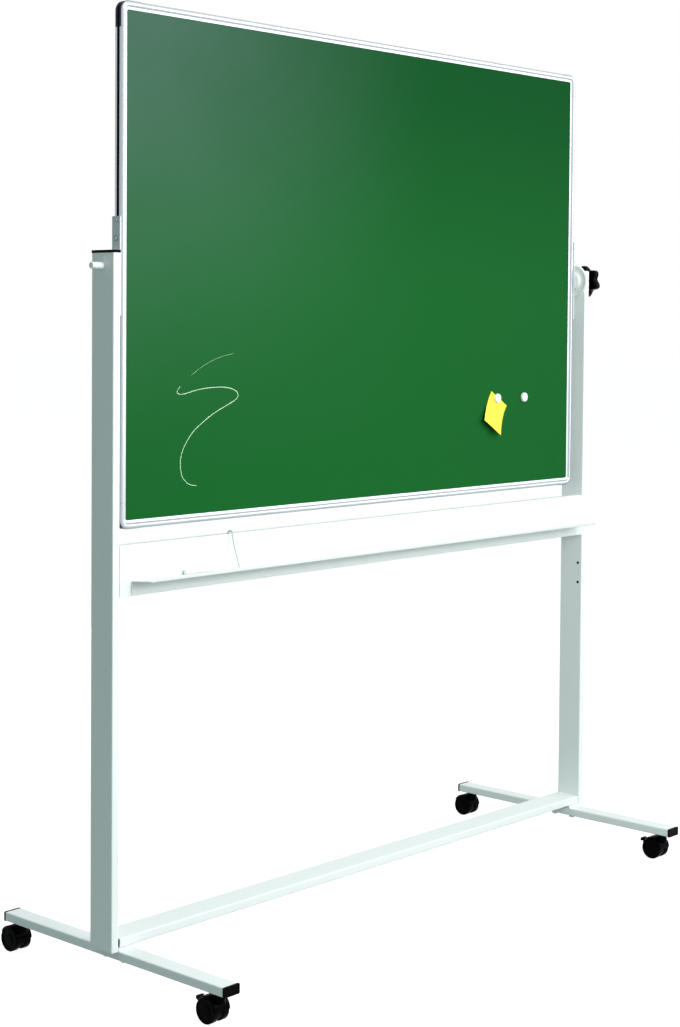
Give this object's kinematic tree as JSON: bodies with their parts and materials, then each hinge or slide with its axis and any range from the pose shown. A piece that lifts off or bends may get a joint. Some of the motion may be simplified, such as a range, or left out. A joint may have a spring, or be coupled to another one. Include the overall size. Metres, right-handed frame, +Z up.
{
  "type": "pivoting whiteboard",
  "caption": "Wheeled revolving writing board: a green enamelled board in an aluminium frame pivots between white steel uprights over a chalk tray.",
  "frame": {"origin": "on the floor, under the centre of the whole outline", "axes": "+X along the board towards the clamp knob, -Y out of the green writing side and the tray, +Z up"},
  "size_m": [1.649, 0.634, 1.878],
  "materials": {
    "white_steel": "satin white powder coat",
    "frame_aluminium": "fine satin anodised",
    "green_enamel": "matt green enamel writing surface",
    "white_enamel": "glossy white enamel writing surface",
    "fibreboard": "raw fibreboard core",
    "black_plastic": "fine grained moulded plastic",
    "castor_nylon": "smooth moulded nylon",
    "grey_steel": "grey painted steel plate",
    "white_plastic": "smooth moulded plastic",
    "zinc_steel": "zinc plated",
    "chalk": "dry pressed chalk"
  },
  "bodies": {
    "stand": {"left_upright": "white_steel", "left_upright_cap": "black_plastic", "left_foot": "white_steel", "left_rail_mount": "white_steel", "left_front_foot_cap": "black_plastic", "left_rear_foot_cap": "black_plastic", "left_front_foot_bolt": "zinc_steel", "left_rear_foot_bolt": "zinc_steel", "left_front_castor_socket": "castor_nylon", "left_rear_castor_socket": "castor_nylon", "right_upright": "white_steel", "right_upright_cap": "black_plastic", "right_foot": "white_steel", "right_rail_mount": "white_steel", "right_front_foot_cap": "black_plastic", "right_rear_foot_cap": "black_plastic", "right_front_foot_bolt": "zinc_steel", "right_rear_foot_bolt": "zinc_steel", "right_front_castor_socket": "castor_nylon", "right_rear_castor_socket": "castor_nylon", "crossbar": "white_steel", "chalk_tray": "white_steel", "wire_stay": "white_steel", "bottom_rail": "white_steel", "left_pivot_bush": "white_plastic", "friction_disc": "white_plastic", "chalk_stick": "chalk"},
    "board": {"board_core": "fibreboard", "green_writing_sheet": "green_enamel", "white_writing_sheet": "white_enamel", "top_frame_profile": "frame_aluminium", "bottom_frame_profile": "frame_aluminium", "left_frame_profile": "frame_aluminium", "right_frame_profile": "frame_aluminium", "top_left_frame_corner": "frame_aluminium", "top_right_frame_corner": "frame_aluminium", "bottom_left_frame_corner": "frame_aluminium", "bottom_right_frame_corner": "frame_aluminium", "left_pivot_bracket": "grey_steel", "right_pivot_bracket": "grey_steel", "left_axle_cap": "white_plastic", "magnet_1": "white_plastic", "magnet_2": "white_plastic"},
    "clamp_washer": {"clamp_washer": "zinc_steel"},
    "clamp_knob": {"clamp_knob": "black_plastic"},
    "left_front_castor": {"left_front_castor_hood": "castor_nylon"},
    "left_front_left_wheel": {"left_front_left_wheel": "castor_nylon"},
    "left_front_right_wheel": {"left_front_right_wheel": "castor_nylon"},
    "left_front_brake_lever": {"left_front_brake_lever": "castor_nylon"},
    "left_rear_castor": {"left_rear_castor_hood": "castor_nylon"},
    "left_rear_left_wheel": {"left_rear_left_wheel": "castor_nylon"},
    "left_rear_right_wheel": {"left_rear_right_wheel": "castor_nylon"},
    "right_front_castor": {"right_front_castor_hood": "castor_nylon"},
    "right_front_left_wheel": {"right_front_left_wheel": "castor_nylon"},
    "right_front_right_wheel": {"right_front_right_wheel": "castor_nylon"},
    "right_front_brake_lever": {"right_front_brake_lever": "castor_nylon"},
    "right_rear_castor": {"right_rear_castor_hood": "castor_nylon"},
    "right_rear_left_wheel": {"right_rear_left_wheel": "castor_nylon"},
    "right_rear_right_wheel": {"right_rear_right_wheel": "castor_nylon"}
  },
  "joints": [
    {"name": "board_pivot", "type": "hinge", "parent": "stand", "child": "board", "pos_m": [-0.00715, -0.006, 1.378], "axis": [1, 0, 0], "continuous": true},
    {"name": "knob_travel", "type": "slide", "parent": "board", "child": "clamp_washer", "axis": [1, 0, 0], "range_m": [0, 0.003]},
    {"name": "knob_turn", "type": "hinge", "parent": "clamp_washer", "child": "clamp_knob", "pos_m": [0.80285, -0.006, 1.378], "axis": [1, 0, 0], "range_deg": [0, 720]},
    {"name": "left_front_swivel", "type": "hinge", "parent": "stand", "child": "left_front_castor", "pos_m": [-0.75715, -0.287, 0.05], "axis": [0, 0, 1], "continuous": true},
    {"name": "left_front_left_roll", "type": "hinge", "parent": "left_front_castor", "child": "left_front_left_wheel", "pos_m": [-0.75715, -0.269, 0.024], "axis": [1, 0, 0], "continuous": true},
    {"name": "left_front_right_roll", "type": "hinge", "parent": "left_front_castor", "child": "left_front_right_wheel", "pos_m": [-0.75715, -0.269, 0.024], "axis": [1, 0, 0], "continuous": true},
    {"name": "left_front_brake", "type": "hinge", "parent": "left_front_castor", "child": "left_front_brake_lever", "pos_m": [-0.75715, -0.24432, 0.03942], "axis": [-1, 0, 0], "range_deg": [0, 15]},
    {"name": "left_rear_swivel", "type": "hinge", "parent": "stand", "child": "left_rear_castor", "pos_m": [-0.75715, 0.275, 0.05], "axis": [0, 0, 1], "continuous": true},
    {"name": "left_rear_left_roll", "type": "hinge", "parent": "left_rear_castor", "child": "left_rear_left_wheel", "pos_m": [-0.75715, 0.293, 0.024], "axis": [1, 0, 0], "continuous": true},
    {"name": "left_rear_right_roll", "type": "hinge", "parent": "left_rear_castor", "child": "left_rear_right_wheel", "pos_m": [-0.75715, 0.293, 0.024], "axis": [1, 0, 0], "continuous": true},
    {"name": "right_front_swivel", "type": "hinge", "parent": "stand", "child": "right_front_castor", "pos_m": [0.74285, -0.287, 0.05], "axis": [0, 0, 1], "continuous": true},
    {"name": "right_front_left_roll", "type": "hinge", "parent": "right_front_castor", "child": "right_front_left_wheel", "pos_m": [0.74285, -0.269, 0.024], "axis": [1, 0, 0], "continuous": true},
    {"name": "right_front_right_roll", "type": "hinge", "parent": "right_front_castor", "child": "right_front_right_wheel", "pos_m": [0.74285, -0.269, 0.024], "axis": [1, 0, 0], "continuous": true},
    {"name": "right_front_brake", "type": "hinge", "parent": "right_front_castor", "child": "right_front_brake_lever", "pos_m": [0.74285, -0.24432, 0.03942], "axis": [-1, 0, 0], "range_deg": [0, 15]},
    {"name": "right_rear_swivel", "type": "hinge", "parent": "stand", "child": "right_rear_castor", "pos_m": [0.74285, 0.275, 0.05], "axis": [0, 0, 1], "continuous": true},
    {"name": "right_rear_left_roll", "type": "hinge", "parent": "right_rear_castor", "child": "right_rear_left_wheel", "pos_m": [0.74285, 0.293, 0.024], "axis": [1, 0, 0], "continuous": true},
    {"name": "right_rear_right_roll", "type": "hinge", "parent": "right_rear_castor", "child": "right_rear_right_wheel", "pos_m": [0.74285, 0.293, 0.024], "axis": [1, 0, 0], "continuous": true}
  ],
  "couplings": [
    {"joint": "knob_travel", "follows": "knob_turn", "m_per_rad": 0.0002387}
  ]
}
